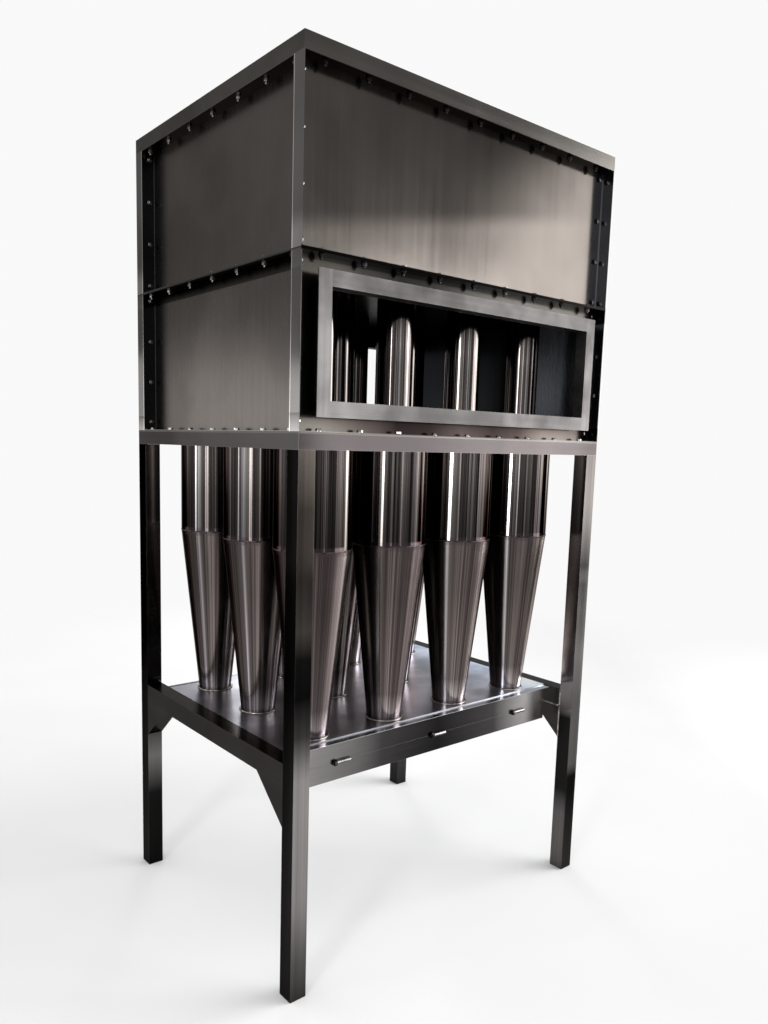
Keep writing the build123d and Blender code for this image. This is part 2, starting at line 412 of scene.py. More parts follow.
# Links a steel's colour, its roughness, and the bump of a height in metres.
def linkSteel(material, colour, roughness, height):
    tree = material.node_tree
    bump = tree.nodes.new("ShaderNodeBump")
    bump.inputs["Distance"].default_value = 1.0
    tree.links.new(height, bump.inputs["Height"])
    links = {"Base Color": colour, "Roughness": roughness, "Normal": bump.outputs["Normal"]}
    for label, value in links.items():
        tree.links.new(value, tree.nodes["Principled BSDF"].inputs[label])
    return material


# Colour of a steel: its colour times tone, grain and factor, mixed to the edge colour on edges, a painted
# highlight that also stands for wear.
# Roughness: its own plus grain and smudges. Height: slow wave plus grain.
def finishSteel(material, look):
    tree = material.node_tree
    grain = useGroup(tree, brushGrain, Stretch=look["stretch"])["Grain"]
    cloud = useGroup(tree, sheetTone, Scale=look["toneScale"], Low=look["toneLow"], High=look["toneHigh"])
    edge = useGroup(tree, edgeGlintAndWear, Radius=look["edgeRadius"])["Edge"]
    grainFactor = between(tree, grain, 0, 1, 1 - look["grain"], 1 + look["grain"])
    plain = stretch(tree, look["colour"], times(tree, cloud["Tone"], grainFactor, look["factor"]))
    wornAndGlinted = blend(tree, times(tree, edge, look["edgeShare"]), plain, look["edgeColour"])
    smudge = times(tree, useGroup(tree, smudges)["Smudge"], look["smudge"])
    grainRoughness = between(tree, grain, 0, 1, -look["grainRoughness"], look["grainRoughness"])
    rough = maths(tree, "ADD", maths(tree, "ADD", look["roughness"], grainRoughness), smudge)
    wave = times(tree, noise(tree, objectPoint(tree), look["waveScale"], detail=1), look["wave"])
    height = maths(tree, "ADD", wave, times(tree, grain, look["grainDepth"]))
    return linkSteel(material, wornAndGlinted, rough, height)


evenStops = ((0, 1.0), (1, 1.0))

# Folded panels: brushed sheet, with the turned-out edges past the sheet's face polished by handling,
# painted shade inside the box, and painted shade on the lips at the joint of the two boxes. The axis is
# 0 for panels that face along X and 1 for those along Y; sheet and fold are distances from the middle.
panelLook = plainSteel | {
    "axis": 1,
    "sheet": 0.4255,
    "fold": 0.5948,
    "colour": (0.047, 0.043, 0.038),
    "roughness": 0.21,
    "grain": 0.035,
    "grainDepth": 0.000006,
    "edgeShare": 0.3,
    "edgeColour": (0.12, 0.115, 0.11),
    # Lips at the corners: a lighter colour, a painted reflection.
    "lipFace": 0.5985,
    "lipColour": (0.088, 0.085, 0.083),
    "flangeRoughness": 0.13,
    # Inside the box: painted shade and a cool painted reflection tint, also on the flanges' inner faces.
    "inwardUnder": -0.3,
    "insideReach": (-0.15, -0.42),
    "insideFactors": (0.12, 0.12),
    "insideColour": (0.045, 0.047, 0.051),
    "flangeInsideColour": (0.68, 0.76, 0.92),
    # Painted highlight on the fold beside each corner flange.
    "foldFactor": 3.5,
    # Painted shade on the lips at the joint of the two boxes, along the length.
    "jointFace": 0.4635,
    "jointLevel": 1.928,
    "jointHalfWidth": 0.006,
    "jointStops": ((0, 0.035), (0.7, 0.036), (0.86, 0.09), (1, 0.15)),
    "halfWidth": 0.6,
    # Painted reflection band: levels below and above a slanting line.
    "bandSlope": -0.19,
    "bandReach": (2.074, 2.134),
    "belowStops": evenStops,
    "aboveStops": evenStops,
    "strips": (),
    "stripFloor": 0.04,
    "shadowRange": (0.9, 0.2),
}
# Painted reflection: the upper front panel is lighter below a slanting band than above it.
upperFrontLook = panelLook | {
    "roughness": 0.19,
    "grain": 0.02,
    "grainDepth": 0.000003,
    "colour": (0.047, 0.0417, 0.0378),
    "belowStops": (
        (0, 2.2), (0.28, 2.2), (0.375, 2.15), (0.4625, 1.9), (0.558, 1.33), (0.667, 0.97), (0.775, 0.88),
        (1, 0.88),
    ),
    "aboveStops": (
        (0, 1.05), (0.3, 1.0), (0.46, 0.72), (0.558, 0.53), (0.667, 0.53), (0.775, 0.6), (0.83, 0.7),
        (1, 0.8),
    ),
}
# Short side panels: the same sheet as the front ones with a lighter colour, a painted reflection tone.
sideLook = panelLook | {
    "axis": 0,
    "sheet": 0.5605,
    "fold": 0.4178,
    "colour": (0.0655, 0.059, 0.055),
    "roughness": 0.27,
    "lipColour": (0.062, 0.0595, 0.0585),
    "grain": 0.014,
    "grainDepth": 0.000003,
    # Inside the short sides: painted shade to the rear, painted light beside the front mouth.
    "insideFactors": (0.1, 4.0),
    "insideColour": (0.058, 0.061, 0.067),
    "flangeInsideColour": (0.05, 0.055, 0.06),
}

# Strips of painted shadow under the flanges above and below the mouth frames, lighter at their ends with
# painted reflection: where each lies, its levels along the length and from its lower to its upper border,
# and the colour that full shadow has.
shadowStrips = (
    {
        "colour": (0.046, 0.0435, 0.041),
        "reach": (1.8845, 1.93),
        "alongStops": (
            (0, 1.1), (0.11, 0.8), (0.18, 0.33), (0.29, 0.12), (0.39, 0.2), (0.5, 0.38), (0.72, 0.5),
            (0.95, 0.5), (1, 0.3),
        ),
        "levels": (1.1, 0.9),
    },
    {
        "colour": (0.047, 0.036, 0.034),
        "reach": (1.49, 1.5455),
        "alongStops": (
            (0, 1.15), (0.1, 0.75), (0.18, 0.4), (0.29, 0.08), (0.39, 0.09), (0.5, 0.26), (0.61, 0.13),
            (0.71, 0.22), (0.8, 0.6), (0.95, 0.6), (1, 0.3),
        ),
        "levels": (1.6, 0.6),
    },
)
# Strip of painted shadow under the joint's flange on the short sides.
sideShadowStrip = {
    "colour": (0.06, 0.055, 0.05),
    "reach": (1.895, 1.93),
    "alongStops": evenStops,
    "levels": (0.45, -0.1),
}
shadowStripLook = panelLook | {"strips": shadowStrips}
shadowStripSideLook = sideLook | {"strips": (sideShadowStrip,)}


# Levels of painted shadow inside the strip and 1 outside it: the curve along the length times the slope
# over the height, never under the floor.
def stripLevel(tree, x, z, strip, look):
    low, high = strip["reach"]
    inside = times(tree, maths(tree, "GREATER_THAN", z, low), maths(tree, "LESS_THAN", z, high))
    slope = between(tree, z, low, high, *strip["levels"])
    level = times(tree, curveAcross(tree, x, look["halfWidth"], strip["alongStops"]), slope)
    return where(tree, inside, maths(tree, "MAXIMUM", level, look["stripFloor"]))


# The factor is the product of painted light and shade at each place: painted shade inside the box (on the
# short sides painted light beside the front mouth), a painted highlight on the fold beside each corner
# flange, painted shade on the joint's lips, painted shadow in the strips and a painted reflection band.
# Lips at the corners and the corner flanges' inner faces have their own painted reflection colours.
def makePanelSteel(name, look):
    material, tree = newSteel(name, look)
    x, y, z = place = objectAxes(tree)
    normal = splitAxes(tree, faceNormal(tree))
    axes = look["axis"], 1 - look["axis"]
    turned = (times(tree, place[axis], normal[axis]) for axis in axes)
    inward, edgeInward = (maths(tree, "LESS_THAN", value, look["inwardUnder"]) for value in turned)
    flange = outside(tree, place[axes[0]], look["sheet"])
    fold = times(tree, outside(tree, place[axes[1]], look["fold"]), maths(tree, "SUBTRACT", 1.0, flange))
    inside = where(tree, inward, between(tree, y, *look["insideReach"], *look["insideFactors"]))
    joint = useGroup(tree, heightLine, Level=look["jointLevel"], HalfWidth=look["jointHalfWidth"])["Line"]
    joint = times(tree, joint, outside(tree, y, look["jointFace"]))
    jointAlong = curveAcross(tree, x, look["halfWidth"], look["jointStops"])
    colour = blend(tree, inward, look["colour"], look["insideColour"])
    colour = blend(tree, outside(tree, x, look["lipFace"]), colour, look["lipColour"])
    colour = blend(tree, times(tree, flange, edgeInward), colour, look["flangeInsideColour"])
    # Painted shadow of the strips: their colour and a lower factor.
    stripShadow = 1.0
    for strip in look["strips"]:
        level = stripLevel(tree, x, z, strip, look)
        colour = blend(tree, between(tree, level, *look["shadowRange"]), colour, strip["colour"])
        stripShadow = times(tree, level, stripShadow)
    slant = maths(tree, "ADD", z, times(tree, x, look["bandSlope"]))
    halves = look["belowStops"], look["aboveStops"]
    below, above = (curveAcross(tree, x, look["halfWidth"], stops) for stops in halves)
    band = blend(tree, between(tree, slant, *look["bandReach"], smooth=True), below, above)
    folded, jointed = where(tree, fold, look["foldFactor"]), where(tree, joint, jointAlong)
    changes = {
        "colour": colour,
        "factor": times(tree, inside, folded, jointed, stripShadow, band),
        "roughness": where(tree, flange, look["flangeRoughness"], look["roughness"]),
        "edgeShare": where(tree, joint, 0.0, look["edgeShare"]),
    }
    return finishSteel(material, look | changes)


roofLook = plainSteel | {
    "colour": (0.058, 0.054, 0.05),
    "edgeColour": (0.12, 0.115, 0.11),
    "roughness": 0.24,
    "stretch": (3.0, 260, 260),
    "waveScale": 4.0,
}
sheetLook = plainSteel | {"colour": (0.045, 0.043, 0.041), "roughness": 0.3, "edgeShare": 0.15}
sheetLook["stretch"] = (3.0, 240, 240)
frontRailLook = plainSteel | {
    "colour": (0.028, 0.0245, 0.0245),
    "roughness": 0.16,
    "stretch": (4.0, 300, 300),
}
sideRailLook = plainSteel | {"colour": (0.026, 0.024, 0.024), "roughness": 0.18, "stretch": (300, 4.0, 300)}
braceLook = plainSteel | {"colour": (0.045, 0.042, 0.04), "roughness": 0.2, "stretch": (300, 4.0, 300)}


def makeSheetSteel(name, look):
    return finishSteel(newSteel(name, look)[0], look)


# Sheet between the boxes: its long edges have the same painted shade as the lips that clamp it.
def makeJointSheetSteel(name, look, joint):
    material, tree = newSteel(name, look)
    x, y, _ = objectAxes(tree)
    edge = outside(tree, y, joint["jointFace"])
    dark = where(tree, edge, curveAcross(tree, x, joint["halfWidth"], joint["jointStops"]))
    changes = {"factor": dark, "edgeShare": where(tree, edge, 0.0, look["edgeShare"])}
    return finishSteel(material, look | changes)


# Bars of the mouth frames, brushed along each bar: the upright bars lie outside the mouth's half width,
# and a painted reflection is strongest at one end and lighter on the upright bars than on the level ones.
# Factors are of upright and level bars, stretches the reverse.
portLook = plainSteel | {
    "colour": (0.063, 0.06, 0.059),
    "roughness": 0.48,
    "barFactors": (1.12, 0.9),
    "grain": 0.22,
    "toneScale": 7.0,
    "toneLow": 0.72,
    "toneHigh": 1.22,
    "smudge": 0.2,
    "mouthHalfWidth": 0.508,
    "frameHalfWidth": 0.548,
    "alongStops": (
        (0, 1.4), (0.05, 1.5), (0.08, 1.75), (0.12, 1.35), (0.2, 1.12), (0.28, 0.93), (0.6, 1.06),
        (0.75, 0.98), (0.93, 0.84), (1, 0.95),
    ),
    "barStretches": ((5.0, 320, 320), (320, 320, 5.0)),
    "wave": 0.0004,
}


def makePortSteel(name, look):
    material, tree = newSteel(name, look)
    x = objectAxes(tree)[0]
    upright = outside(tree, x, look["mouthHalfWidth"])
    direction = blend(tree, upright, *look["barStretches"])
    bar = where(tree, upright, *look["barFactors"])
    along = curveAcross(tree, x, look["frameHalfWidth"], look["alongStops"])
    return finishSteel(material, look | {"stretch": direction, "factor": times(tree, bar, along)})


# Legs: level curves over the height for the front and back faces, for the face towards the middle, and
# for the outer side: painted reflections of the floor, the room and the parts nearby.
legLook = plainSteel | {
    "colour": (1.0, 0.95, 0.93),
    "roughness": 0.13,
    "stretch": (170, 170, 1.6),
    "grain": 0.28,
    "smudge": 0.03,
    "top": 1.457,
    "facingRange": (0.4, 0.6),
    "outerStops": ((0, 0.028), (0.2, 0.02), (0.45, 0.013), (0.6, 0.004), (1, 0.003)),
    "outerFace": 0.585,
}
legStops = {
    "leg_front_left": {
        "face": (
            (0, 0.04), (0.2, 0.2), (0.42, 0.25), (0.5, 0.04), (0.57, 0.004), (0.64, 0.005),
            (0.69, 0.035, -0.1), (0.78, 0.012, -0.1), (0.9, 0.01, -0.12), (1, 0.03, -0.1),
        ),
        "inner": ((0, 0.02), (0.5, 0.03), (1, 0.04)),
    },
    "leg_front_right": {
        "face": (
            (0, 0.03), (0.134, 0.017), (0.2, 0.009), (0.235, 0.009), (0.265, 0.09), (0.42, 0.085),
            (0.53, 0.16), (0.64, 0.14), (0.7, 0.03), (0.745, 0.009), (0.82, 0.024, -0.03),
            (0.89, 0.037, -0.04), (1, 0.038, -0.05),
        ),
        "inner": (
            (0, 0.1), (0.14, 0.09), (0.2, 0.012), (0.38, 0.012), (0.43, 0.35), (0.55, 0.6), (0.64, 0.24),
            (0.7, 0.13), (0.75, 0.14), (0.85, 0.2), (0.95, 0.24), (1, 0.3),
        ),
    },
    "leg_rear_left": {
        "face": ((0, 0.006), (0.18, 0.01), (0.27, 0.13), (0.34, 0.03), (1, 0.3)),
        "inner": ((0, 0.03), (0.5, 0.03), (1, 0.05)),
    },
    "leg_rear_right": {
        "face": ((0, 0.03), (0.25, 0.1), (0.45, 0.04), (1, 0.05)),
        "inner": ((0, 0.03), (0.5, 0.05), (1, 0.08)),
    },
}


def makeLegSteel(name, look, stops):
    material, tree = newSteel(name, look)
    x, _, z = objectAxes(tree)
    share = maths(tree, "DIVIDE", z, look["top"])
    turned = maths(tree, "ABSOLUTE", splitAxes(tree, faceNormal(tree))[1])
    curves = stops["face"], stops["inner"], look["outerStops"]
    faceLevel, innerLevel, outerLevel = (levelCurve(tree, share, curve) for curve in curves)
    sideLevel = blend(tree, outside(tree, x, look["outerFace"]), innerLevel, outerLevel)
    level = blend(tree, between(tree, turned, *look["facingRange"]), sideLevel, faceLevel)
    return finishSteel(material, look | {"colour": stretch(tree, look["colour"], level)})


# Cyclones: mirror barrel above the seam with upright streaks, satin cone below it, each with a curve of
# levels round the axis (0 and 1 are the rear, 0.5 the front) that paints reflections fixed to one side, and
# heat colour beside each weld. The streaks are polishing marks and painted reflections both. Pairs of
# values are the barrel's and the cone's.
cycloneLook = {
    "brightColour": (0.114, 0.104, 0.096),
    "darkColour": (0.106, 0.089, 0.088),
    "coneTint": (1.03, 0.965, 0.955),
    "heatColour": (0.05, 0.036, 0.04),
    "roughness": (0.055, 0.2),
    "smudge": (0.02, 0.12),
    "smudgeScale": 14.0,
    # Painted reflections round the axis, the same on every cyclone.
    "barrelStops": (
        (0, 0.5), (0.17, 0.3), (0.315, 0.42), (0.333, 3.6, 0.07), (0.343, 3.2, 0.07), (0.353, 1.1),
        (0.376, 0.65), (0.388, 0.36), (0.42, 0.42), (0.45, 0.9), (0.463, 0.75), (0.475, 0.24),
        (0.508, 0.16), (0.53, 0.1), (0.542, 0.14), (0.55, 0.9), (0.6, 1.1), (1, 0.5),
    ),
    "coneStops": (
        (0, 0.4), (0.24, 0.25), (0.29, 0.4), (0.322, 0.5), (0.337, 2.7, 0.1), (0.35, 0.5), (0.372, 0.36),
        (0.388, 0.7), (0.411, 0.98), (0.436, 0.6), (0.465, 0.58), (0.49, 0.45), (0.52, 1.2),
        (0.56, 2.4, 0.03), (0.585, 2.0), (0.62, 0.6), (1, 0.4),
    ),
    "barrelTop": 1.497,
    # Painted reflection and shade over the height: barrels darker low, cones lighter and cooler near the
    # foot.
    "barrelHeightStops": ((0, 0.38), (0.15, 0.42), (0.4, 0.55), (0.75, 1.0), (1, 1.1)),
    "coneHeightStops": (
        (0, 4.6, 0.05), (0.05, 4.2, 0.05), (0.16, 1.5, 0.02), (0.4, 1.35), (0.7, 1.0), (1, 0.95),
    ),
    "seam": 1.185,
    "foot": 0.648,
    "heatReach": 0.012,
    "heatShare": 0.4,
    "broadStreaks": 6.0,
    "fineStreaks": 38.0,
    "broadShare": 0.4,
    "fineShare": 0.6,
    "streakRange": (0.41, 0.6),
    "hueRange": (0.46, 0.58),
    "coneStreaks": (0.5, 1.55),
    "barrelStreaks": (0.2, 1.9),
    "edgeTint": 0.32,
    "dent": 0.0003,
}


# Colour: pinkish in dark streaks to cream in bright ones, times the painted reflection curves round the
# axis and over the height, times streaks of noise. The share round the axis is the turn over a full circle,
# from the rear.
def makeCycloneSteel(name, look):
    material, tree = newSteel(name, look)
    around = useGroup(tree, aroundAxis)
    z = objectAxes(tree)[2]
    upper = maths(tree, "GREATER_THAN", z, look["seam"])
    broad = noise(tree, around["Place"], look["broadStreaks"], detail=1)
    fine = noise(tree, around["Place"], look["fineStreaks"], roughness=0.6)
    shares = times(tree, broad, look["broadShare"]), times(tree, fine, look["fineShare"])
    streak = maths(tree, "ADD", *shares)
    ends = (where(tree, upper, *both) for both in zip(look["barrelStreaks"], look["coneStreaks"]))
    strength = between(tree, streak, *look["streakRange"], *ends)
    share = maths(tree, "FRACT", maths(tree, "MULTIPLY_ADD", around["Turn"], 0.5 / math.pi, 0.75))
    coneLevel, barrelLevel = (levelCurve(tree, share, look[part]) for part in ("coneStops", "barrelStops"))
    level = blend(tree, upper, coneLevel, barrelLevel)
    hue = blend(tree, between(tree, streak, *look["hueRange"]), look["darkColour"], look["brightColour"])
    tint = blend(tree, upper, look["coneTint"], (1.0, 1.0, 1.0))
    coneShare = between(tree, z, look["foot"], look["seam"])
    barrelShare = between(tree, z, look["seam"], look["barrelTop"])
    coneHeight = levelCurve(tree, coneShare, look["coneHeightStops"])
    barrelHeight = levelCurve(tree, barrelShare, look["barrelHeightStops"])
    toned = hue
    for factor in (tint, level, strength, blend(tree, upper, coneHeight, barrelHeight)):
        toned = stretch(tree, toned, factor)
    seamHeat = useGroup(tree, heightLine, Level=look["seam"], HalfWidth=look["heatReach"])["Line"]
    footHeat = useGroup(tree, heightLine, Level=look["foot"], HalfWidth=look["heatReach"])["Line"]
    heat = times(tree, maths(tree, "MAXIMUM", seamHeat, footHeat), look["heatShare"])
    own, smudgeShare = where(tree, upper, *look["roughness"]), where(tree, upper, *look["smudge"])
    smudge = times(tree, useGroup(tree, smudges, Scale=look["smudgeScale"])["Smudge"], smudgeShare)
    coloured = blend(tree, heat, toned, look["heatColour"])
    return linkSteel(material, coloured, maths(tree, "ADD", own, smudge), times(tree, broad, look["dent"]))


# Clean gas tubes: all of what shows is above their seam, with painted reflections round the axis, and
# painted shade darkens them under the sheet that holds them.
tubeLook = cycloneLook | {
    "roughness": (0.07, 0.2),
    "seam": 1.49,
    "foot": 1.93,
    "barrelTop": 1.93,
    "barrelStops": (
        (0, 0.5), (0.36, 0.65), (0.375, 0.4), (0.4, 0.3), (0.42, 0.65, 0.06), (0.45, 0.5), (0.55, 0.4),
        (1, 0.5),
    ),
    "barrelHeightStops": (
        (0, 1.05), (0.477, 1.0), (0.614, 1.3), (0.705, 0.95), (0.773, 0.4), (0.84, 0.14), (1, 0.1),
    ),
    "barrelStreaks": (0.08, 2.5),
}
vaneLook = plainSteel | {"colour": (0.08, 0.076, 0.072), "roughness": 0.3, "edgeRadius": 0.0006}
vaneLook["stretch"] = (240, 240, 40)

# Hopper plate: smooth, with a painted reflection that makes it brighter and cooler towards the right end,
# and blotches of uneven tone that stand in partly for blotchy reflections.
# Painted highlight line on the rounded fold of the sheet.
foldLook = plainSteel | {"foldBorder": (0.00168, 0.00072), "foldHighlightColour": (0.42, 0.44, 0.48)}
plateLook = foldLook | {
    "colour": (0.97, 0.96, 1.06),
    "roughness": 0.3,
    "edgeTint": 0.5,
    "stretch": (4.0, 260, 260),
    "grain": 0.05,
    "toneScale": 5.0,
    "toneLow": 0.7,
    "toneHigh": 1.35,
    "halfLength": 0.55,
    "lengthStops": ((0, 0.27), (0.5, 0.27), (0.75, 0.36), (0.88, 0.55, 0.06), (1, 0.9, 0.1)),
    "edgeColour": (0.7, 0.7, 0.72),
    "foldLine": 0.3442,
}

# Edge angles and hanging strips share a curve of painted reflection levels along the length; the ledges on
# top have their own, and a painted highlight line where the sheet folds down.
stripLook = foldLook | {
    "colour": (1.0, 0.95, 0.95),
    "roughness": 0.24,
    "stretch": (4.0, 300, 300),
    "halfLength": 0.515,
    "lengthStops": ((0, 0.3), (0.28, 0.045), (0.5, 0.014), (0.75, 0.055), (0.9, 0.35), (1, 0.45)),
    "edgeColour": (0.6, 0.6, 0.6),
    "wave": 0.0006,
    "ledgeFrom": 0.6438,
    "ledgeStops": ((0, 0.17, 0.02), (0.5, 0.24, 0.02), (0.8, 0.38, 0.04), (1, 0.6, 0.07)),
    "foldLine": 0.372,
}


def makeLengthSteel(name, look):
    material, tree = newSteel(name, look)
    x, y, z = objectAxes(tree)
    level = curveAcross(tree, x, look["halfLength"], look["lengthStops"])
    away = maths(tree, "SUBTRACT", maths(tree, "ABSOLUTE", y), look["foldLine"])
    bright = between(tree, maths(tree, "ABSOLUTE", away), *look["foldBorder"], smooth=True)
    if "ledgeFrom" in look:
        ledge = maths(tree, "GREATER_THAN", z, look["ledgeFrom"])
        level = blend(tree, ledge, level, curveAcross(tree, x, look["halfLength"], look["ledgeStops"]))
        bright = times(tree, bright, ledge)
    colour = blend(tree, bright, stretch(tree, look["colour"], level), look["foldHighlightColour"])
    return finishSteel(material, look | {"colour": colour})


# Bolts, with factors of painted glints and painted shade for those on the short sides, at the corners and
# in the upper rows.
boltLook = plainSteel | {"stretch": (500, 500, 500), "shortSideX": 0.567, "cornerY": 0.4145, "upperFrom": 1.7}
headLook = boltLook | {
    "colour": (0.22, 0.21, 0.2),
    "roughness": 0.2,
    "edgeColour": (0.3, 0.3, 0.3),
    "factors": (1.6, 0.5, 0.35),
}
nutLook = boltLook | {
    "colour": (0.03, 0.0285, 0.028),
    "roughness": 0.28,
    "edgeColour": (0.1, 0.1, 0.1),
    "factors": (6.0, 0.3, 1.0),
}


def makeBoltSteel(name, look):
    material, tree = newSteel(name, look)
    x, y, z = objectAxes(tree)
    shortSide = outside(tree, x, look["shortSideX"])
    corner = times(tree, shortSide, outside(tree, y, look["cornerY"]))
    upper = maths(tree, "GREATER_THAN", z, look["upperFrom"])
    factors = (where(tree, mask, own) for mask, own in zip((shortSide, corner, upper), look["factors"]))
    return finishSteel(material, look | {"factor": times(tree, *factors)})


hingeLook = plainSteel | {
    "colour": (0.2, 0.195, 0.19),
    "roughness": 0.3,
    "stretch": (260, 4.0, 4.0),
    "grain": 0.35,
    "edgeColour": (0.5, 0.5, 0.5),
}
darkNutLook = plainSteel | {"colour": (0.03, 0.028, 0.027), "roughness": 0.35, "stretch": (500, 500, 500)}
weldLook = plainSteel | {
    "colour": (0.3, 0.28, 0.26),
    "roughness": 0.3,
    "stretch": (400, 400, 400),
    "toneScale": 60.0,
    "toneLow": 0.45,
    "toneHigh": 1.3,
    "edgeShare": 0.0,
    "grainDepth": 0.0001,
}
seamLook = weldLook | {"colour": (0.05, 0.043, 0.045)}

# Each finish of the sheets, bars and tubes, and the CAD nodes that have it.
edgeStripSteel = makeLengthSteel("edgeStripSheet", stripLook)
finishes = (
    (makeSheetSteel("roofSheet", roofLook), "roof_cover"),
    (makePanelSteel("panelSheetFront", upperFrontLook), "upper_front_panel upper_rear_panel"),
    (makePanelSteel("panelSheetShadowed", shadowStripLook), "middle_front_panel middle_rear_panel"),
    (makePanelSteel("panelSheetSide", sideLook), "upper_left_panel upper_right_panel"),
    (makePanelSteel("panelSheetSideShadowed", shadowStripSideLook), "middle_left_panel middle_right_panel"),
    (makePortSteel("mouthFrameBars", portLook), "inlet_flange rear_inlet_flange outlet_flange"),
    (makeSheetSteel("tubeSheetPlate", sheetLook), "lower_tube_sheet"),
    (makeJointSheetSteel("tubeSheetPlateUpper", sheetLook, panelLook), "upper_tube_sheet"),
    (makeCycloneSteel("outletTubeSheet", tubeLook), "outlet_tubes"),
    (makeSheetSteel("vaneSheet", vaneLook), "swirl_vanes"),
    (makeSheetSteel("railTubeLong", frontRailLook), "top_rail_front top_rail_rear"),
    (makeSheetSteel("railTubeShort", sideRailLook), "top_rail_left top_rail_right"),
    (makeSheetSteel("braceSheet", braceLook), "leg_gussets side_rail_left side_rail_right"),
    (makeCycloneSteel("cycloneSheet", cycloneLook), " ".join(cycloneNodes)),
    (makeLengthSteel("hopperPlateSheet", plateLook), "hopper_plate"),
    (edgeStripSteel, "edge_angle_front edge_angle_rear skirt_strip_front skirt_strip_rear"),
    (makeSheetSteel("hingeBar", hingeLook), "strip_hinges"),
)
nodeSteels = {name: makeLegSteel(name + "Tube", legLook, stops) for name, stops in legStops.items()}
for steel, names in finishes:
    nodeSteels |= dict.fromkeys(names.split(), steel)
for name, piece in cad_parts.items():
    piece.data.materials[0] = nodeSteels[name]
headSteel = makeBoltSteel("boltHeadSteel", headLook)
nutSteel = makeBoltSteel("flangeNutSteel", nutLook)
darkNutSteel = makeSheetSteel("darkNutSteel", darkNutLook)
weldSteel = makeSheetSteel("weldBead", weldLook)
seamSteel = makeSheetSteel("seamBead", seamLook)
print("materials on", len(nodeSteels), "nodes")

# Bolts of the flanges: M8 hexagon heads and nuts on washers.
flangeBolt = {
    "washerRadius": 0.008,
    "washerThickness": 0.0016,
    "flatRadius": 0.0065,
    "headHeight": 0.0053,
    "headTopShare": 0.2,
    "nutHeight": 0.0065,
    "chamfer": 0.0007,
    "studRadius": 0.004,
    "studBeyondNut": 0.0045,
    "longRowX": (0, 0.132, -0.132, 0.264, -0.264, 0.396, -0.396, 0.528, -0.528),
    "longRowY": 0.445,
    "shortRowX": 0.58,
    "shortRowY": (0, 0.136, -0.136, 0.272, -0.272, 0.4, -0.4),
    "nutLevels": (2.358, 1.924),
    "headLevels": (1.932, 1.503),
    "cornerX": 0.578,
    "cornerOuterY": 0.425,
    "cornerInnerY": 0.421,
    "cornerZ": (1.528, 1.655, 1.782, 1.909, 1.955, 2.082, 2.209, 2.336),
    "headSeed": 7,
    "nutSeed": 8,
}


# Washer standing on Z = 0 and a hexagon of the given height on it, with a small chamfer.
def washerAndHexagon(bolt, height):
    washer, flat, cut = bolt["washerThickness"], bolt["flatRadius"], bolt["chamfer"]
    top = washer + height
    hexagon = [(flat, washer, "hexagon"), (flat, top - cut, "hexagon"), (flat - cut, top)]
    return [(bolt["washerRadius"], 0), (bolt["washerRadius"], washer)] + hexagon, top


def boltHead(bolt):
    stations, top = washerAndHexagon(bolt, bolt["headHeight"])
    return turnedPart(stations + [(bolt["flatRadius"] * bolt["headTopShare"], top)])


# A nut has the end of the stud on top.
def nutOnStud(bolt):
    stations, top = washerAndHexagon(bolt, bolt["nutHeight"])
    stud, cut, tip = bolt["studRadius"], bolt["chamfer"], top + bolt["studBeyondNut"]
    return turnedPart(stations + [(stud, top), (stud, tip - cut), (stud - cut, tip)])


# Places of the heads and of the nuts, each with the direction that they point in.
def boltPlaces(bolt):
    plan = [(x, side * bolt["longRowY"]) for x in bolt["longRowX"] for side in (-1, 1)]
    plan += [(side * bolt["shortRowX"], y) for y in bolt["shortRowY"] for side in (-1, 1)]
    heads = [([(x, y, level) for level in bolt["headLevels"] for x, y in plan], (0, 0, 1))]
    nuts = [([(x, y, level) for level in bolt["nutLevels"] for x, y in plan], (0, 0, -1))]
    corners = [(x * bolt["cornerX"], z) for x in (-1, 1) for z in bolt["cornerZ"]]
    for side in (-1, 1):
        heads += [([(x, side * bolt["cornerOuterY"], z) for x, z in corners], (0, side, 0))]
        nuts += [([(x, side * bolt["cornerInnerY"], z) for x, z in corners], (0, -side, 0))]
    return heads, nuts


# One shape of all the copies, each turned by a seeded random angle.
def scatteredTurns(part, groups, seed, fullTurn=6.28):
    source = np.random.default_rng(seed)
    placed = ((spots, way, source.uniform(0, fullTurn, len(spots))) for spots, way in groups)
    return joinShapes([placedCopies(part, *group) for group in placed])


headPlaces, nutPlaces = boltPlaces(flangeBolt)
heads = scatteredTurns(boltHead(flangeBolt), headPlaces, flangeBolt["headSeed"])
nuts = scatteredTurns(nutOnStud(flangeBolt), nutPlaces, flangeBolt["nutSeed"])
addPiece("flange_bolt_heads", heads, headSteel)
addPiece("flange_nuts", nuts, nutSteel)

# Weld rings of the cyclones and tubes: level, radius, half width out, half height and ripples.
seamBead = {"level": 1.185, "radius": 0.11, "wide": 0.001, "high": 0.0022, "ripple": 0.12, "ripples": 90}
weldRings = (
    {"level": 1.4962, "radius": 0.1104, "wide": 0.0022, "high": 0.0024, "ripple": 0.15, "ripples": 80},
    {"level": 0.6492, "radius": 0.0545, "wide": 0.0036, "high": 0.0026, "ripple": 0.14, "ripples": 48},
    {"level": 1.9306, "radius": 0.0545, "wide": 0.002, "high": 0.002, "ripple": 0.15, "ripples": 48},
)
rings = joinShapes([ringBeads(cycloneAxes, bead) for bead in weldRings])
addPiece("barrel_seam_rings", ringBeads(cycloneAxes, seamBead), seamSteel, sharpAngle=60)
addPiece("cyclone_weld_rings", rings, weldSteel, sharpAngle=60)

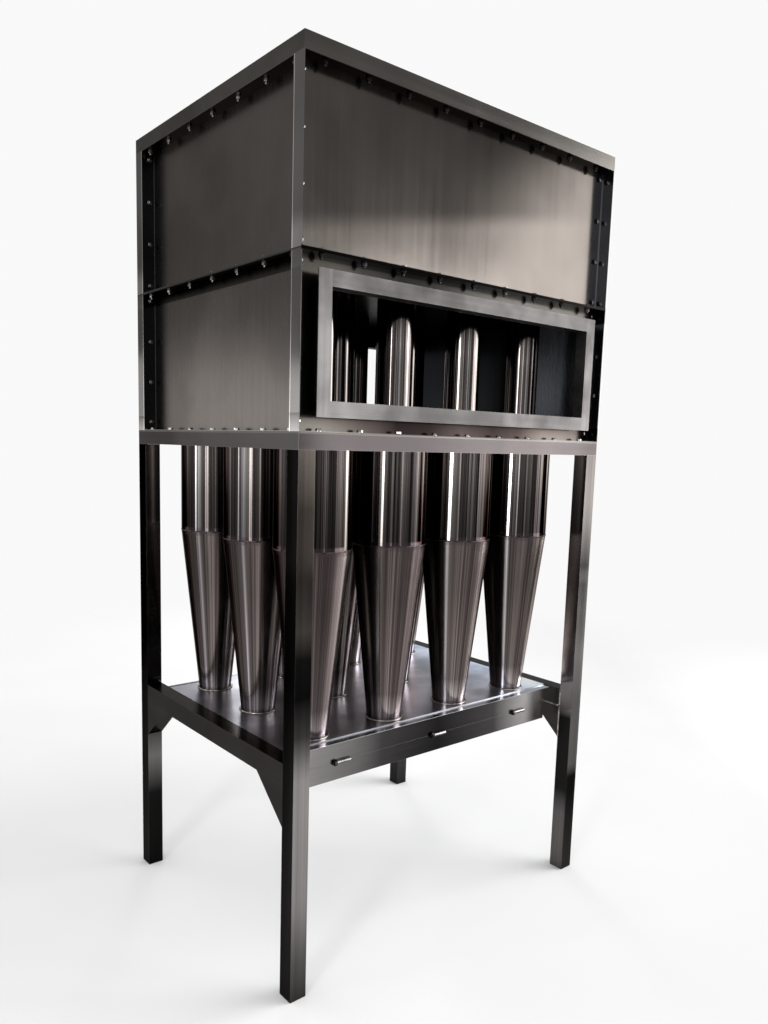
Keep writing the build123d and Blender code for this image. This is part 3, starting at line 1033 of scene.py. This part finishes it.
# Beads in the inner corners of the frame.
frameBead = {
    "radius": 0.003,
    "ripple": 0.16,
    "step": 0.0048,
    "legInnerX": 0.5502,
    "legInnerY": 0.4152,
    "railUnder": 1.4568,
    "railTop": 0.648,
    "railBottom": 0.588,
    "braceReach": 0.126,
    "braceDrop": 0.111,
    "legWidth": 0.05,
    "inset": 0.003,
}


# Start and end of each bead of one corner: under the top rails, at the ends of the side rail and down
# the brace's edges. The other corners mirror them.
def frameBeadLines(bead):
    x, y, inset = bead["legInnerX"], bead["legInnerY"], bead["inset"]
    under, low = bead["railUnder"], bead["railBottom"]
    outerX, outerY = (inner + bead["legWidth"] - 2 * inset for inner in (x, y))
    lines = [((x, y + inset, under), (x, outerY, under)), ((x + inset, y, under), (outerX, y, under))]
    lines += [((edge, y, low), (edge, y, bead["railTop"])) for edge in (x, outerX)]
    for edge in (x, outerX):
        lines.append(((edge, y, low - bead["braceDrop"]), (edge, y, low - inset)))
        lines.append(((edge, y - bead["braceReach"], low), (edge, y - inset, low)))
    mirrors = [(sideX, sideY, 1) for sideX in (-1, 1) for sideY in (-1, 1)]
    return np.concatenate([np.array(lines) * mirror for mirror in mirrors])


frameBeads = lineBeads(frameBeadLines(frameBead), frameBead)
addPiece("frame_weld_beads", frameBeads, weldSteel, sharpAngle=60)

# Ends of the hinge bars: a dark nut at the left and a low domed cap at the right.
hingeFitting = {
    "barX": (-0.375, 0.0, 0.375),
    "barY": 0.377,
    "barZ": 0.59075,
    "barHalfLength": 0.028,
    "nutOverlap": 0.008,
    "nutTurns": (0.2, 0.7, 0.4),
    "nutStations": (
        (0.00702, 0), (0.0078, 0.0008, "hexagon"), (0.0078, 0.0092, "hexagon"), (0.00702, 0.01),
        (0.004, 0.01), (0.0035, 0.013),
    ),
    "capStations": ((0.0052, 0), (0.004784, 0.00175), (0.00364, 0.002975), (0.00156, 0.0035)),
}


def hingeEnds(fitting):
    nut, cap = turnedPart(fitting["nutStations"]), turnedPart(fitting["capStations"], sides=16)
    half = np.array((fitting["barHalfLength"], 0, 0))
    shapes = []
    for side in (-1, 1):
        middles = np.array([(x, side * fitting["barY"], fitting["barZ"]) for x in fitting["barX"]])
        nutPlace = middles - half + (fitting["nutOverlap"], 0, 0)
        shapes.append(placedCopies(nut, nutPlace, (-1, 0, 0), fitting["nutTurns"]))
        shapes.append(placedCopies(cap, middles + half, (1, 0, 0), (0, 0, 0)))
    return joinShapes(shapes)


addPiece("hinge_end_nuts", hingeEnds(hingeFitting), darkNutSteel)

# Studio: pale floor that turns to the background's white away from the object, even pale world light,
# and soft boxes that the camera doesn't see.
studio = {
    "floorHalfSize": 14.0,
    "floorPoints": 9,
    "floorColour": (0.66, 0.66, 0.66),
    "floorRoughness": 0.9,
    "floorNoise": 1.5,
    "floorNoiseRange": (0.3, 0.7, 0.985, 1.015),
    "lampWay": (0.77, -0.64),
    "lampSideReach": (0.2, 1.7),
    "lampSideShare": 0.68,
    "fadeReach": (2.3, 5.0),
    "background": (0.95, 0.95, 0.95),
}

# Floor paint near the object, darker towards the strong lamps so that the floor looks even, and plain
# background light further out for every ray that shows it.
paint = bpy.data.materials.new("studioFloorPaint")
paint.use_nodes = True
tree = paint.node_tree
shader = tree.nodes["Principled BSDF"]
shader.inputs["Roughness"].default_value = studio["floorRoughness"]
x, y, _ = objectAxes(tree)
away = maths(tree, "SQRT", maths(tree, "ADD", times(tree, x, x), times(tree, y, y)))
grey = between(tree, noise(tree, objectPoint(tree), studio["floorNoise"]), *studio["floorNoiseRange"])
towards = (times(tree, axis, share) for axis, share in zip((x, y), studio["lampWay"]))
evened = between(tree, maths(tree, "ADD", *towards), *studio["lampSideReach"], 1.0, studio["lampSideShare"])
tree.links.new(stretch(tree, studio["floorColour"], times(tree, grey, evened)), shader.inputs["Base Color"])
paths = tree.nodes.new("ShaderNodeLightPath").outputs
seen = maths(tree, "MAXIMUM", paths["Is Camera Ray"], paths["Is Glossy Ray"])
seen = maths(tree, "MAXIMUM", seen, paths["Is Transmission Ray"])
far = times(tree, seen, between(tree, away, *studio["fadeReach"], smooth=True))
glow = tree.nodes.new("ShaderNodeEmission")
glow.inputs["Color"].default_value = (*studio["background"], 1)
mix = tree.nodes.new("ShaderNodeMixShader")
for value, socket in zip((far, shader.outputs[0], glow.outputs[0]), mix.inputs):
    tree.links.new(value, socket)
tree.links.new(mix.outputs[0], tree.nodes["Material Output"].inputs["Surface"])

# Flat floor square: x and y run over the grid, z is 0.
count = studio["floorPoints"]
across = np.linspace(-studio["floorHalfSize"], studio["floorHalfSize"], count)
floorX, floorY = np.meshgrid(across, across, indexing="xy")
points = np.stack([floorX, floorY, 0 * floorX], axis=2).reshape(-1, 3)
mesh = bpy.data.meshes.new("studioFloor")
mesh.from_pydata(points.tolist(), [], gridFaces(count, count, False, False).tolist())
mesh.materials.append(paint)
floor = addObject("studioFloor", mesh)

world = bpy.data.worlds.new("studioWorld")
world.use_nodes = True
world.node_tree.nodes["Background"].inputs["Color"].default_value = (*studio["background"], 1)
bpy.context.scene.world = world

# Each soft box: its azimuth in degrees from the front towards +X, its distance, width, lower and upper
# edge in metres, and its light.
softBoxes = {
    "rightWide": (61, 6.0, 3.2, 0.2, 4.15, 13.0),
    "rightFar": (86, 6.0, 1.8, 0.2, 3.4, 5.0),
    "rightFront": (38, 6.0, 2.0, 0.2, 3.06, 8.5),
    "leftStrip": (-62, 5.0, 0.7, 0.1, 3.4, 12.0),
    "frontLeftStrip": (-34, 5.5, 0.34, 0.1, 3.4, 4.5),
    "frontStrip": (-6, 5.0, 0.3, 0.1, 3.4, 3.0),
    "rearRight": (150, 6.0, 1.2, 0.1, 3.4, 6.0),
    "leftFar": (-100, 5.5, 0.3, 0.1, 3.4, 7.0),
    "rearLeftLow": (-145, 6.0, 3.0, 0.2, 2.25, 3.1),
}

# They are upright area lamps that face the object's axis.
for name, (azimuth, distance, width, low, high, light) in softBoxes.items():
    turn, height = math.radians(azimuth), high - low
    lamp = bpy.data.lights.new(name, "AREA")
    lamp.shape = "RECTANGLE"
    lamp.size, lamp.size_y = width, height
    lamp.energy = light * math.pi * width * height
    holder = addObject(name, lamp)
    holder.location = (math.sin(turn) * distance, -math.cos(turn) * distance, low + height / 2)
    holder.rotation_euler = (math.radians(90), 0, turn)
    holder.visible_camera = False

# The photograph's view, taken as 768 by 1024.
cameraView = {
    "place": (-1.7049, -2.0833, 1.4746),
    "right": (0.7787, -0.6269, 0.0262),
    "up": (0.0633, 0.1201, 0.9907),
    "back": (-0.6242, -0.7698, 0.1333),
    "lens": 28.283,
    "shift": (0.0209, 0.0393),
}
camera = bpy.data.cameras.new("photoView")
camera.lens = cameraView["lens"]
camera.shift_x, camera.shift_y = cameraView["shift"]
turned = Matrix([cameraView[axis] for axis in ("right", "up", "back")]).transposed().to_4x4()
cameraObject = addObject("photoView", camera)
cameraObject.matrix_world = Matrix.Translation(cameraView["place"]) @ turned
bpy.context.scene.camera = cameraObject
bpy.context.scene.view_settings.view_transform = "Standard"
print("studio ready:", len(softBoxes), "soft boxes")
